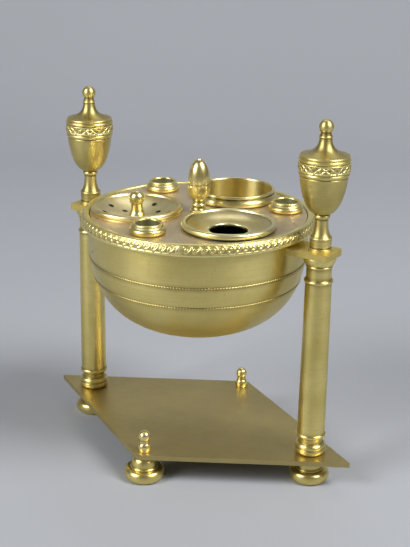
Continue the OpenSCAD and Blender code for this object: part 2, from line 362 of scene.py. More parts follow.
def softened(points, radius, closed, sharpest=22):
    """Points with each corner sharper than so many degrees cut to a small curve."""
    count = len(points)
    most = 0.45  # of the shorter side beside a corner
    result = []
    for i, p in enumerate(points):
        ends = not closed and i in (0, count - 1)
        a, b = points[i - 1], points[(i + 1) % count]
        u = (a[0] - p[0], a[1] - p[1])
        v = (b[0] - p[0], b[1] - p[1])
        lu, lv = math.hypot(*u), math.hypot(*v)
        cosine = max(-1.0, min(1.0, (u[0] * v[0] + u[1] * v[1]) / (lu * lv or 1)))
        turn = 180 - math.degrees(math.acos(cosine))
        if ends or turn < sharpest or p[0] < ON_AXIS:
            result.append(p)
            continue
        cut = min(radius, lu * most, lv * most)
        start = (p[0] + u[0] / lu * cut, p[1] + u[1] / lu * cut)
        end = (p[0] + v[0] / lv * cut, p[1] + v[1] / lv * cut)
        result += bend(start, p, end, 4)
    return result


def close_set(points, step, closed, margin=0.12):
    """Points no further apart than step, with one near each end of a long side."""
    result = []
    pairs = list(zip(points, points[1:] + points[:1]))
    if not closed:
        pairs.pop()
    for a, b in pairs:
        result.append(a)
        length = math.dist(a, b)
        if length > 3 * margin:
            run = length - 2 * margin
            inner = max(1, math.ceil(run / step))
            for k in range(inner + 1):
                t = (margin + run * k / inner) / length
                result.append(tuple(p + (q - p) * t for p, q in zip(a, b)))
    if not closed:
        result.append(points[-1])
    return result


def outward(points, closed):
    """Outward normals of an outline, and the outline turned the way that they need."""
    p = np.array(points, float)
    q = np.roll(p, -1, axis=0)
    if not closed:
        q[-1] = (0.0, p[0][1])
    if float(np.sum(p[:, 0] * q[:, 1] - q[:, 0] * p[:, 1])) < 0:
        p = p[::-1].copy()
    ahead, behind = np.roll(p, -1, axis=0), np.roll(p, 1, axis=0)
    if not closed:
        ahead[-1], behind[0] = p[-1], p[0]
    along = ahead - behind
    along /= np.maximum(np.linalg.norm(along, axis=1, keepdims=True), TINY)
    return p, np.stack([along[:, 1], -along[:, 0]], axis=1)


def hollowness(points, normals, closed, reach=0.7):
    """How far each point lies inside (positive) or outside the run beside it."""
    if closed:
        path = np.vstack([points, points, points])
        own = len(points)
    else:
        path, own = points, 0
    s = np.concatenate([[0], np.cumsum(np.linalg.norm(np.diff(path, axis=0), axis=1))])
    here = s[own : own + len(points)]
    offsets = (-reach, -reach / 2, reach / 2, reach)
    beside = np.zeros_like(points)
    for offset in offsets:
        t = np.clip(here + offset, 0, s[-1])
        place = np.stack([np.interp(t, s, path[:, k]) for k in (0, 1)], axis=1)
        beside += place / len(offsets)
    return np.sum((beside - points) * normals, axis=1) / reach


def set_values(mesh, name, values):
    """Stores a number for each vertex."""
    layer = mesh.attributes.new(name, "FLOAT", "POINT")
    layer.data.foreach_set("value", np.asarray(values, np.float32).ravel())


def mesh_piece(name, points, faces, body, node, finish, film=None, wear=None):
    """A piece made of a mesh in millimetres, which stands for a CAD node."""
    mesh = bpy.data.meshes.new(name)
    mesh.from_pydata((np.asarray(points) * MM).tolist(), [], faces)
    mesh.update()
    mesh.polygons.foreach_set("use_smooth", [True] * len(mesh.polygons))
    # Stored for each vertex: tarnish film with painted shade in the hollows, and wear
    # on edges
    if film is not None:
        set_values(mesh, "film", film)
        set_values(mesh, "wear", wear)
    mesh.materials.append(finish)
    piece = bpy.data.objects.new(name, mesh)
    bpy.context.scene.collection.objects.link(piece)
    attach(piece, body)
    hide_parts(node)
    return piece


def turned(
    name,
    outline,
    at,
    body,
    node,
    finish,
    closed=False,
    segments=128,
    step=0.6,
    relief=None,
    plain=False,
):
    """A piece turned from its half outline, with relief pushed in along its normals.

    relief(r, z, angle) takes arrays and returns the depth in millimetres and how much
    of the tarnish film and painted shade goes there.
    """
    sizes = bpy.context.scene.inkstand_sizes
    points = without_repeats(outline, closed)
    if not plain:
        points = softened(points, sizes.edge_round / MM, closed)
    points = close_set(without_repeats(points, closed), step, closed)
    points, normals = outward(without_repeats(points, closed), closed)
    hollow = np.repeat(hollowness(points, normals, closed)[:, None], segments, axis=1)
    count = len(points)
    angles = np.linspace(0, 2 * math.pi, segments, endpoint=False)
    r = np.repeat(points[:, 0:1], segments, axis=1)
    z = np.repeat(points[:, 1:2], segments, axis=1)
    # Painted shade and tarnish film: hollows of the outline darken towards the tarnish
    # colour, more the deeper they lie
    film = np.clip(hollow * FILM_AND_SHADE_GAIN, 0, 1)
    wear = np.clip(-hollow * WEAR_GAIN, 0, 1)
    if relief is not None:
        a = np.repeat(angles[None, :], count, axis=0)
        depth, film_and_shade_here = relief(r, z, a)
        r = r - depth * normals[:, 0:1]
        z = z - depth * normals[:, 1:2]
        film = np.clip(film + film_and_shade_here, 0, 1)
        wear = np.where(film_and_shade_here > FILM_AND_SHADE_OVER_WEAR, 0, wear)
    x = at[0] + r * np.cos(angles)[None, :]
    y = at[1] + r * np.sin(angles)[None, :]
    z = at[2] + z
    pole = points[:, 0] < ON_AXIS
    verts, first, film_and_shade_values, wears = [], [], [], []
    for i in range(count):
        first.append(len(verts))
        for j in range(1 if pole[i] else segments):
            place = (at[0], at[1]) if pole[i] else (x[i, j], y[i, j])
            verts.append((*place, z[i, j]))
            film_and_shade_values.append(film[i, j])
            wears.append(wear[i, j])
    faces = []
    for i in range(count if closed else count - 1):
        k = (i + 1) % count
        if pole[i] and pole[k]:
            continue
        for j in range(segments):
            n = (j + 1) % segments
            if pole[i]:
                faces.append((first[i], first[k] + n, first[k] + j))
            elif pole[k]:
                faces.append((first[i] + j, first[i] + n, first[k]))
            else:
                faces.append((first[i] + j, first[i] + n, first[k] + n, first[k] + j))
    return mesh_piece(name, verts, faces, body, node, finish, film_and_shade_values, wears)


# Finishes


class Nodes:
    """Short calls for building one material's node tree."""

    def __init__(self, name):
        self.material = bpy.data.materials.new(name)
        self.material.use_nodes = True
        self.tree = self.material.node_tree
        self.shader = self.tree.nodes["Principled BSDF"]
        coords = self.tree.nodes.new("ShaderNodeTexCoord")
        self.place = coords.outputs["Object"]

    def link(self, source, target):
        self.tree.links.new(source, target)

    def stretched(self, scale):
        """The place on the piece, with each axis scaled."""
        node = self.tree.nodes.new("ShaderNodeMapping")
        node.inputs["Scale"].default_value = scale
        self.link(self.place, node.inputs["Vector"])
        return node.outputs["Vector"]

    def noise(self, scale, detail=4.0, roughness=0.5, vector=None):
        node = self.tree.nodes.new("ShaderNodeTexNoise")
        node.inputs["Scale"].default_value = scale
        node.inputs["Detail"].default_value = detail
        node.inputs["Roughness"].default_value = roughness
        self.link(vector or self.place, node.inputs["Vector"])
        return node.outputs["Fac"]

    def ramp(self, value, low, high, out_low=0.0, out_high=1.0):
        """Value taken from low..high to out_low..out_high."""
        node = self.tree.nodes.new("ShaderNodeMapRange")
        node.inputs["From Min"].default_value = low
        node.inputs["From Max"].default_value = high
        node.inputs["To Min"].default_value = out_low
        node.inputs["To Max"].default_value = out_high
        self.link(value, node.inputs["Value"])
        return node.outputs["Result"]

    def math(self, operation, a, b):
        node = self.tree.nodes.new("ShaderNodeMath")
        node.operation = operation
        for socket, value in zip(node.inputs, (a, b)):
            if isinstance(value, (int, float)):
                socket.default_value = value
            else:
                self.link(value, socket)
        return node.outputs["Value"]

    def blend(self, factor, a, b):
        """Colour a where the factor is 0, and b where it is 1."""
        node = self.tree.nodes.new("ShaderNodeMix")
        node.data_type = "RGBA"
        self.link(factor, node.inputs[0])
        for socket, value in ((node.inputs[6], a), (node.inputs[7], b)):
            if isinstance(value, tuple):
                socket.default_value = (*value, 1.0)
            else:
                self.link(value, socket)
        return node.outputs[2]

    def stored(self, name):
        """A number stored on the mesh."""
        node = self.tree.nodes.new("ShaderNodeAttribute")
        node.attribute_name = name
        return node.outputs["Fac"]

    def bump(self, height, strength, distance, under=None):
        node = self.tree.nodes.new("ShaderNodeBump")
        node.inputs["Strength"].default_value = strength
        node.inputs["Distance"].default_value = distance
        self.link(height, node.inputs["Height"])
        if under is not None:
            self.link(under, node.inputs["Normal"])
        return node.outputs["Normal"]

    def spot(self, at, radius, soft=0.5):
        """1 inside a small ragged stain at a place in millimetres."""
        node = self.tree.nodes.new("ShaderNodeVectorMath")
        node.operation = "DISTANCE"
        self.link(self.place, node.inputs[0])
        node.inputs[1].default_value = [c * MM for c in at]
        raggedness = 0.9 * radius * MM
        outer = 1.45 * radius * MM
        ragged = self.math("MULTIPLY", self.noise(900.0, 2.0), raggedness)
        reach = self.math("ADD", node.outputs["Value"], ragged)
        return self.ramp(reach, outer - soft * radius * MM, outer, 1.0, 0.0)


def colour(name):
    """One of the colours that the panel holds."""
    return tuple(getattr(bpy.context.scene.inkstand_colours, name))


def shade(rgb, factor, lift=0.0):
    """A lighter or darker tone of a colour."""
    return tuple(min(1.0, c * factor + lift) for c in rgb)


# How much of each layer shows in a metal finish
STREAK_SHARE = 0.3
STREAK_SHADE = 0.78
SPECK_SHARE = 0.35
WEAR_SHARE = 0.55
FILM_AND_SHADE_ROUGHNESS = 0.18
MARKS_RUN_ROUND = 0.25  # turns the shader's grain a quarter turn, along the lathe marks


def metal(
    name,
    fresh,
    worn,
    roughness=(0.28, 0.40),
    marks=(60, 60, 5200),
    mark_depth=0.012,
    anisotropic=0.0,
    cloud=48.0,
    film_and_shade_strength=0.8,
    stains=(),
    tarnish_and_shade=None,
):
    """Gilt metal with tool marks, clouds, specks, worn edges, and tarnish film with
    painted shade in its corners.

    marks gives how fine the tool marks are along each axis, cloud how fine the clouds
    are, and mark_depth their depth in millimetres. Each stain is a place, a radius and
    a strength.
    """
    tarnish_and_shade = tarnish_and_shade or colour("tarnish_and_shade")
    n = Nodes(name)
    clouds = n.ramp(n.noise(cloud, 5.0, 0.55), 0.36, 0.64)
    tone = n.blend(clouds, fresh, worn)
    streaks = n.noise(1.0, 3.0, 0.6, vector=n.stretched(marks))
    streaked = n.ramp(streaks, 0.48, 0.72, 0.0, STREAK_SHARE)
    tone = n.blend(streaked, tone, shade(worn, STREAK_SHADE))
    specks = n.ramp(n.noise(1500.0, 2.0), 0.66, 0.74, 0.0, SPECK_SHARE)
    tone = n.blend(specks, tone, tarnish_and_shade)
    wear = n.math("MULTIPLY", n.stored("wear"), WEAR_SHARE)
    tone = n.blend(wear, tone, shade(fresh, 1.18, 0.03))
    # Painted shade with tarnish film: the stored hollow and groove values blend the
    # tone towards the tarnish colour
    film = n.math("MULTIPLY", n.stored("film"), film_and_shade_strength)
    uneven = n.ramp(n.noise(420.0, 3.0), 0.3, 0.7, 0.65, 1.15)
    film = n.math("MULTIPLY", film, uneven)
    tone = n.blend(film, tone, tarnish_and_shade)
    for at, radius, strength in stains:
        mask = n.math("MULTIPLY", n.spot(at, radius), strength)
        tone = n.blend(mask, tone, colour("stain"))
    n.link(tone, n.shader.inputs["Base Color"])
    n.shader.inputs["Metallic"].default_value = 1.0
    rough = n.ramp(n.noise(260.0, 4.0, 0.6), 0.3, 0.7, *roughness)
    rough = n.math("ADD", rough, n.math("MULTIPLY", film, FILM_AND_SHADE_ROUGHNESS))
    n.link(rough, n.shader.inputs["Roughness"])
    if anisotropic:
        n.shader.inputs["Anisotropic"].default_value = anisotropic
        n.shader.inputs["Anisotropic Rotation"].default_value = MARKS_RUN_ROUND
        around = n.tree.nodes.new("ShaderNodeTangent")
        around.direction_type = "RADIAL"
        around.axis = "Z"
        n.link(around.outputs["Tangent"], n.shader.inputs["Tangent"])
    pits = n.bump(n.noise(700.0, 3.0, 0.6), 0.12, 0.05 * MM)
    n.link(n.bump(streaks, 0.35, mark_depth * MM, pits), n.shader.inputs["Normal"])
    return n.material


BOWL_STAINS = (
    ((-26.0, -36.0, 91.9), 0.9, 0.8),
    ((-28.4, -33.0, 88.7), 0.5, 0.7),
)
TRAY_STAINS = (
    ((39.5, 8.6, PLATE_TOP), 0.5, 0.9),
    ((40.6, 7.0, PLATE_TOP), 0.35, 0.9),
)


def metals():
    """How each metal finish differs from plain gilt metal."""
    gilt, worn = colour("gilt"), colour("gilt_worn")
    plate, base = colour("plate"), colour("base")
    return {
        "satin_gilt": dict(
            fresh=gilt,
            worn=worn,
            roughness=(0.28, 0.38),
            anisotropic=0.55,
            film_and_shade_strength=0.55,
        ),
        "bowl_gilt": dict(
            fresh=gilt,
            worn=worn,
            roughness=(0.31, 0.38),
            anisotropic=0.7,
            cloud=30.0,
            film_and_shade_strength=0.6,
            stains=BOWL_STAINS,
        ),
        "urn_gilt": dict(
            fresh=shade(gilt, 0.88),
            worn=shade(worn, 0.74),
            roughness=(0.36, 0.46),
            anisotropic=0.5,
            cloud=60.0,
        ),
        "chased_gilt": dict(
            fresh=shade(gilt, 1.08, 0.06),
            worn=gilt,
            roughness=(0.30, 0.40),
            marks=(300, 300, 300),
        ),
        "bright_gilt": dict(
            fresh=colour("bright"),
            worn=gilt,
            roughness=(0.24, 0.33),
            mark_depth=0.006,
            film_and_shade_strength=0.6,
        ),
        "socket_gilt": dict(
            fresh=gilt, worn=worn, roughness=(0.28, 0.38), tarnish_and_shade=colour("patina")
        ),
        "cup_gilt": dict(
            fresh=colour("cup"),
            worn=gilt,
            roughness=(0.3, 0.4),
            anisotropic=0.75,
            mark_depth=0.02,
        ),
        # The near black here also paints the shade round the sifting holes and under
        # the dish
        "dish_gilt": dict(
            fresh=colour("dish"),
            worn=worn,
            roughness=(0.30, 0.38),
            tarnish_and_shade=colour("dark_tarnish_and_shade"),
        ),
        "tray_brass": dict(
            fresh=plate,
            worn=shade(plate, 0.85),
            roughness=(0.46, 0.58),
            marks=(900, 900, 60),
            stains=TRAY_STAINS,
        ),
        "base_brass": dict(
            fresh=base,
            worn=shade(base, 0.82),
            roughness=(0.36, 0.5),
            marks=(70, 2600, 300),
            mark_depth=0.02,
            cloud=26.0,
        ),
        "bracket_gilt": dict(
            fresh=worn, worn=worn, roughness=(0.5, 0.6), marks=(2400, 90, 300)
        ),
        "dark_iron": dict(
            fresh=colour("iron"), worn=(0.06, 0.05, 0.045), roughness=(0.4, 0.55)
        ),
    }


FINISHES = {}


def finish(name):
    """The named finish, made on first use."""
    if name not in FINISHES:
        if name == "bottle_glass":
            FINISHES[name] = bottle_glass(name)
        else:
            FINISHES[name] = metal(name, **metals()[name])
    return FINISHES[name]


def bottle_glass(name):
    """Dark green bottle glass with dried ink inside."""
    n = Nodes(name)
    ink = n.ramp(n.noise(140.0, 4.0), 0.4, 0.6)
    tone = n.blend(ink, colour("glass"), colour("ink"))
    n.link(tone, n.shader.inputs["Base Color"])
    n.shader.inputs["Transmission Weight"].default_value = 0.35
    n.shader.inputs["IOR"].default_value = 1.5
    n.link(n.ramp(ink, 0.0, 1.0, 0.05, 0.22), n.shader.inputs["Roughness"])
    n.link(n.bump(n.noise(90.0, 2.0), 0.2, 0.3 * MM), n.shader.inputs["Normal"])
    return n.material


def dress_node(node, material, bevel=0.0):
    """Gives a CAD node its finish and rounds its edges by some millimetres."""
    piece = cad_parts[node]
    piece.data.materials.clear()
    piece.data.materials.append(material)
    if bevel:
        sharpest_kept = 35
        rounding = piece.modifiers.new("edge_rounding", "BEVEL")
        rounding.width = bevel * MM
        rounding.segments = 2
        rounding.limit_method = "ANGLE"
        rounding.angle_limit = math.radians(sharpest_kept)
        rounding.harden_normals = True


# Pieces


def foot_line():
    """Outside of a foot: a bun, a thin ring and a dome."""
    radius = half_width("foot_front")
    bun = FOOT_H * 0.49
    dome_r = radius - 2.9
    return (
        bend((radius - 1.6, 0), (radius - 0.1, 0.5), (radius, bun * 0.5), 20)
        + bend((radius, bun * 0.5), (radius - 0.1, bun), (radius - 1.9, bun), 20)
        + arc((dome_r, bun + 0.4), 0.4, -60, 80, 10)
        + bend(
            (dome_r - 0.1, bun + 1),
            (dome_r - 0.2, FOOT_H - 0.4),
            (dome_r - 2.3, FOOT_H),
            20,
        )
    )


class FeetOperator(bpy.types.Operator):
    """Turn the four bun feet"""

    bl_idname = "inkstand.feet"
    bl_label = "Feet"

    def execute(self, context):
        recess, recess_r, bolt_hole = 3.4, 3.5, 1.75
        bolted = (
            [(recess_r, recess), (recess_r, 0)]
            + foot_line()
            + [(bolt_hole, FOOT_H), (bolt_hole, recess)]
        )
        stud_hole, stud_floor = 1.55, FOOT_H - 7.5
        studded = (
            [(0, stud_floor), (0, 0)]
            + foot_line()
            + [(stud_hole, FOOT_H), (stud_hole, stud_floor)]
        )
        outlines = {"left": bolted, "right": bolted, "front": studded, "back": studded}
        for side, outline in outlines.items():
            node = "foot_" + side
            at = (*middle(node), 0)
            gilt = finish("satin_gilt")
            turned(node + "_bun", outline, at, "stand", node, gilt, closed=True)
        return {"FINISHED"}


class BaseOperator(bpy.types.Operator):
    """Finish the lozenge base, its bolts and its two knobs"""

    bl_idname = "inkstand.base"
    bl_label = "Base"

    def execute(self, context):
        dress_node("base_plate", finish("base_brass"), 0.22)
        for side in ("left", "right"):
            dress_node("bolt_" + side, finish("dark_iron"), 0.15)
        ball, ball_z = 2.45, 6.4
        stud_r, stud_end = 1.5, -(BASE_TOP - FOOT_H) - 7
        outline = (
            [(0, stud_end), (stud_r, stud_end), (stud_r, 0)]
            + bend((2.5, 0), (3.1, 2.1), (2, 3.4), 18)
            + arc((0, ball_z), ball, -39, 90, 24)
        )
        for side in ("front", "back"):
            node = "base_knob_" + side
            at = (*middle(node), BASE_TOP)
            turned(node + "_ball", outline, at, "stand", node, finish("bright_gilt"))
        return {"FINISHED"}


class ColumnsOperator(bpy.types.Operator):
    """Turn the two columns"""

    bl_idname = "inkstand.columns"
    bl_label = "Columns"

    def execute(self, context):
        bore = 1.75
        foot_r, narrowing = 5.6, 0.4
        shaft_foot, shaft_end = 9.6, COLUMN_H - 10.9
        cap = COLUMN_H
        shaft = []
        for i in range(13):
            u = i / 12
            height = shaft_foot + (shaft_end - shaft_foot) * u
            shaft.append((foot_r - narrowing * u**1.4, height))
        outline = (
            [(bore, cap), (bore, 0)]
            + arc((foot_r - 1.1, 1.8), 1.8, -90, 22, 22)
            + arc((foot_r - 0.9, 3.6), 1.45, -28, 78, 18)
            + bend((foot_r - 0.7, 5.2), (foot_r - 1, 5.9), (foot_r - 0.5, 7.5), 14)
            + arc((foot_r - 0.35, 8.5), 0.85, -60, 70, 16)
            + shaft
            + arc((foot_r - 0.6, cap - 9.8), 0.75, -70, 70, 14)
            + [(foot_r - 0.65, cap - 8.9), (foot_r - 0.65, cap - 4.3)]
            + arc((foot_r - 0.7, cap - 3.75), 0.45, -70, 70, 10)
            + bend(
                (foot_r - 0.5, cap - 3.2),
                (foot_r + 0.8, cap - 2.6),
                (foot_r + 0.8, cap - 0.5),
                14,
            )
            + [(foot_r + 0.8, cap)]
        )
        for side in ("left", "right"):
            node = "column_" + side
            at = (*middle(node), BASE_TOP)
            gilt = finish("satin_gilt")
            name = node + "_shaft"
            turned(name, outline, at, "stand", node, gilt, closed=True, step=1.5)
        return {"FINISHED"}


class BracketsOperator(bpy.types.Operator):
    """Finish the two flat brackets that carry the bowl"""

    bl_idname = "inkstand.brackets"
    bl_label = "Brackets"

    def execute(self, context):
        for side in ("left", "right"):
            dress_node("bracket_" + side, finish("bracket_gilt"), 0.25)
        return {"FINISHED"}


URN_BODY_Z = 14.6
URN_RING_Z = 29.5
URN_BAND_Z = 31.5
URN_BAND_H = 3.4
URN_H = 36.5
URN_BAND_R = 9.95
URN_SEAT_R = 9.4
URN_SOCKET_R = 7.05
URN_SOCKET_D = 3.0


def ridge(offset, width):
    """Height, 0 to 1, of a round ridge at every whole number of the offset."""
    away = np.abs(offset - np.round(offset)) / width
    return np.sqrt(np.clip(1 - away**2, 0, 1))


def crossed(u, v):
    """Height of a lattice of crossing threads with a bead in each eye.

    u counts the eyes along the band and v runs across it from 0 to 1.
    """
    thread_w, bead_w, bead_height = 0.15, 0.2, 0.8
    threads = np.maximum(ridge(u + v, thread_w), ridge(u - v, thread_w))
    along = (u - np.floor(u) - 0.5) / bead_w
    across = (v - 0.5) / bead_w
    bead = np.sqrt(np.clip(1 - along**2 - across**2, 0, 1))
    return np.maximum(threads, bead * bead_height)


def scrolled(u, v):
    """Height of leaning rings with a bead in each and a thread between them."""
    half_length, half_height = 0.42, 0.46
    ring_at, ring_w, bead_r, thread_w = 0.74, 0.24, 0.36, 0.09
    ring_lean, thread_lean = 0.6, 0.7
    bead_height, thread_height = 0.8, 0.6
    lean = u - (v - 0.5) * ring_lean
    along = (lean - np.round(lean)) / half_length
    across = (v - 0.5) / half_height
    away = np.hypot(along, across)
    ring = np.sqrt(np.clip(1 - ((away - ring_at) / ring_w) ** 2, 0, 1))
    bead = np.sqrt(np.clip(1 - (away / bead_r) ** 2, 0, 1)) * bead_height
    thread = ridge(u + (v - 0.5) * thread_lean + 0.5, thread_w) * thread_height
    return np.maximum(np.maximum(ring, bead), thread)


class UrnsOperator(bpy.types.Operator):
    """Turn the two urns with their lattice bands and covers"""

    bl_idname = "inkstand.urns"
    bl_label = "Urns"

    def execute(self, context):
        sizes = context.scene.inkstand_sizes
        hole, hole_end = 1.65, 6.0
        urn = (
            [(0, hole_end), (hole, hole_end), (hole, 0), (4.6, 0), (4.6, 1)]
            + [(4, 1.3), (4, 1.6), (4.2, 1.9), (4.25, 4.6)]
            + arc((3.95, 5.1), 0.45, -50, 60, 12)
            + sweep((3.9, 5.7), (3, 6.9), (2.5, 9.2), (2.55, 12.4), 18)
            + arc((2.2, 13.6), 1, -60, 60, 16)
            + sweep(
                (3, URN_BODY_Z), (6.3, 15.6), (8.5, 21.5), (9.25, URN_RING_Z - 0.2), 30
            )
            + arc((8.75, (URN_RING_Z + URN_BAND_Z) / 2), 1, -75, 75, 18)
            + [(URN_SEAT_R, URN_BAND_Z), (URN_SEAT_R, URN_BAND_Z + URN_BAND_H)]
            + arc((9.05, URN_H - 0.8), 0.8, -60, 90, 16)
            + [
                (URN_SOCKET_R, URN_H),
                (URN_SOCKET_R, URN_H - URN_SOCKET_D),
                (0, URN_H - URN_SOCKET_D),
            ]
        )
        band = [
            (URN_SEAT_R, URN_BAND_Z),
            (URN_BAND_R, URN_BAND_Z),
            (URN_BAND_R, URN_BAND_Z + URN_BAND_H),
            (URN_SEAT_R, URN_BAND_Z + URN_BAND_H),
        ]
        spigot_r = URN_SOCKET_R - 0.05
        spigot_z = -URN_SOCKET_D + 0.2
        cover = (
            [(0, spigot_z), (spigot_r, spigot_z), (spigot_r, 0)]
            + arc((9.05, 0.5), 0.5, -90, 80, 12)
            + sweep((8.8, 1.05), (5, 2), (2.9, 3), (2.4, 7), 26)
            + arc((2.1, 7.7), 0.5, -60, 70, 10)
            + [(2.1, 8.5)]
            + arc((0, 11.4), 2.8, -46, 90, 26)
        )
        depth = sizes.lattice_depth / MM
        leaves = sizes.urn_leaves

        border, lattice_foot, lattice_share = 0.04, 0.18, 0.66
        low_edge, high_edge, edge_run = 0.12, 0.9, 0.08
        film_and_shade_share = 0.75

        def lattice(r, z, angle):
            v = (z - URN_BAND_Z) / URN_BAND_H
            face = (r > URN_BAND_R - 0.02) & (v > border) & (v < 1 - border)
            around = angle * leaves / (2 * math.pi)
            height = crossed(around, (v - lattice_foot) / lattice_share)
            edge = np.clip(np.minimum(v - low_edge, high_edge - v) / edge_run, 0, 1)
            low = (1 - height) * edge
            # Painted shade: the low places between the lattice threads darken towards
            # the tarnish colour
            film = low**2 * film_and_shade_share
            return np.where(face, depth * low, 0), np.where(face, film, 0)

        for side in ("left", "right"):
            x, y = middle("urn_" + side)
            at = (x, y, BRACKET_TOP)
            gilt = finish("urn_gilt")
            turned("urn_" + side + "_body", urn, at, "stand", "urn_" + side, gilt)
            turned(
                "urn_band_" + side + "_lattice",
                band,
                at,
                "stand",
                "urn_band_" + side,
                finish("chased_gilt"),
                closed=True,
                segments=leaves * 32,
                step=0.14,
                relief=lattice,
                plain=True,
            )
            turned(
                "urn_cover_" + side + "_top",
                cover,
                (x, y, BRACKET_TOP + URN_H),
                "stand",
                "urn_cover_" + side,
                gilt,
            )
        return {"FINISHED"}


BOWL_RIM = top("bowl")
BOWL_MID = BOWL_RIM - 3.7
BOWL_DEPTH = BOWL_MID - bottom("bowl")
BOWL_SQUARE = 2.7
BOWL_WALL = 1.0
BEAD_R = 0.35
BEAD_HEIGHTS = (BOWL_MID - 20.9, BOWL_MID - 12.2)


def bowl_line(radius, depth, steps=56):
    """Rounded part of the bowl from its bottom to the start of the straight wall."""
    power = 2 / BOWL_SQUARE
    points = []
    for i in range(steps + 1):
        a = math.radians(90 * i / steps)
        across = radius * math.sin(a) ** power
        points.append((across, BOWL_MID - depth * max(math.cos(a), 0) ** power))
    return points


def bowl_at(z):
    """Radius of the bowl's outside at a height."""
    down = (BOWL_MID - z) / BOWL_DEPTH
    return BOWL_R * (1 - down**BOWL_SQUARE) ** (1 / BOWL_SQUARE)


def with_beads(line):
    """The bowl's line with a half-round bead at each height."""
    room = BEAD_R + 0.08
    result = [p for p in line if all(abs(p[1] - z) > room for z in BEAD_HEIGHTS)]
    for z in BEAD_HEIGHTS:
        where = next(i for i, p in enumerate(result) if p[1] > z)
        result[where:where] = arc((bowl_at(z) - 0.1, z), BEAD_R, -70, 70)
    return result


class BowlOperator(bpy.types.Operator):
    """Spin the bowl with its two milled lines"""

    bl_idname = "inkstand.bowl"
    bl_label = "Bowl"

    def execute(self, context):
        teeth = context.scene.inkstand_sizes.milled_teeth
        inside_r = BOWL_R - BOWL_WALL
        outline = (
            with_beads(bowl_line(BOWL_R, BOWL_DEPTH))
            + [(BOWL_R, BOWL_RIM), (inside_r, BOWL_RIM)]
            + bowl_line(inside_r, BOWL_DEPTH - BOWL_WALL)[::-1]
        )
        tooth_depth, bead_reach, bead_in = 0.2, 0.42, 0.5
        film_and_shade_reach, film_and_shade_in, groove_film_and_shade, tooth_film_and_shade = 0.75, 0.9, 0.25, 0.55

        def milled(r, z, angle):
            depth = np.zeros_like(r)
            film = np.zeros_like(r)
            tooth = 0.5 + 0.5 * np.cos(angle * teeth)
            for bead in BEAD_HEIGHTS:
                away, wall = np.abs(z - bead), bowl_at(bead)
                near = np.clip(1 - away / bead_reach, 0, 1)
                on_bead = near * (r > wall - bead_in)
                depth += tooth * tooth_depth * np.sqrt(on_bead)
                # Painted shade with tarnish film: the bowl darkens beside each milled
                # bead, and more between its teeth
                beside = (away < film_and_shade_reach) & (r > wall - film_and_shade_in)
                film_and_shade_here = groove_film_and_shade + tooth_film_and_shade * tooth * (on_bead > 0)
                film += np.where(beside, film_and_shade_here, 0)
            return depth, film

        turned(
            "bowl_spun",
            outline,
            (0, 0, 0),
            "stand",
            "bowl",
            finish("bowl_gilt"),
            segments=teeth * 4,
            step=1.4,
            relief=milled,
        )
        return {"FINISHED"}


class RimBandOperator(bpy.types.Operator):
    """Chase the leaf band round the rim"""

    bl_idname = "inkstand.rim_band"
    bl_label = "Rim Band"

    def execute(self, context):
        sizes = context.scene.inkstand_sizes
        foot = bottom("rim_band")
        crown = PLATE_TOP + 0.75
        seat_r = BOWL_R - 0.6
        ledge_r = half_width("top_plate") - 1.2
        outer = (
            [(BOWL_R, foot), (BAND_R - 0.2, foot), (BAND_R, foot + 0.3)]
            + sweep(
                (BAND_R, foot + 0.8),
                (BAND_R, foot + 3),
                (BOWL_R + 2, crown),
                (BOWL_R + 0.6, crown),
                30,
            )
        )
        outline = outer + [
            (BOWL_R - 0.3, PLATE_TOP + 0.6),
            (seat_r, PLATE_TOP + 0.1),
            (seat_r, PLATE_TOP - PLATE_T),
            (ledge_r, PLATE_TOP - PLATE_T),
            (ledge_r, BOWL_RIM),
            (BOWL_R, BOWL_RIM),
        ]
        depth = sizes.chase_depth / MM
        leaves = sizes.rim_leaves
        low_edge, high_edge = foot + 0.6, crown - 0.4
        border, edge_run, film_and_shade_share = 0.02, 0.08, 0.6
        seam, seam_half, left_at_seam = math.radians(-64.7), math.radians(2.6), 0.12
        slope = 1.5  # the outline leans in, so heights are spread evenly over it

        def chased(r, z, angle):
            v = np.clip((z - low_edge) / (high_edge - low_edge), 0, 1) ** slope
            face = (r > BOWL_R + 1.1) & (v > border) & (v < 1 - border)
            height = scrolled(angle * leaves / (2 * math.pi), v)
            edge = np.clip(np.minimum(v, 1 - v) / edge_run, 0, 1)
            gap = np.abs((angle - seam + math.pi) % (2 * math.pi) - math.pi)
            worn = np.clip(gap / seam_half, left_at_seam, 1)
            low = (1 - height) * edge * worn
            # Painted shade with tarnish film: the valleys of the chased leaves darken
            # towards the tarnish colour
            film = low**2 * film_and_shade_share
            return np.where(face, depth * low, 0), np.where(face, film, 0)

        turned(
            "rim_band_chased",
            outline,
            (0, 0, 0),
            "stand",
            "rim_band",
            finish("chased_gilt"),
            closed=True,
            segments=leaves * 18,
            step=0.22,
            relief=chased,
        )
        return {"FINISHED"}


class TrayOperator(bpy.types.Operator):
    """Finish the tray's disc"""

    bl_idname = "inkstand.tray"
    bl_label = "Tray"

    def execute(self, context):
        dress_node("top_plate", finish("tray_brass"), 0.0)
        return {"FINISHED"}


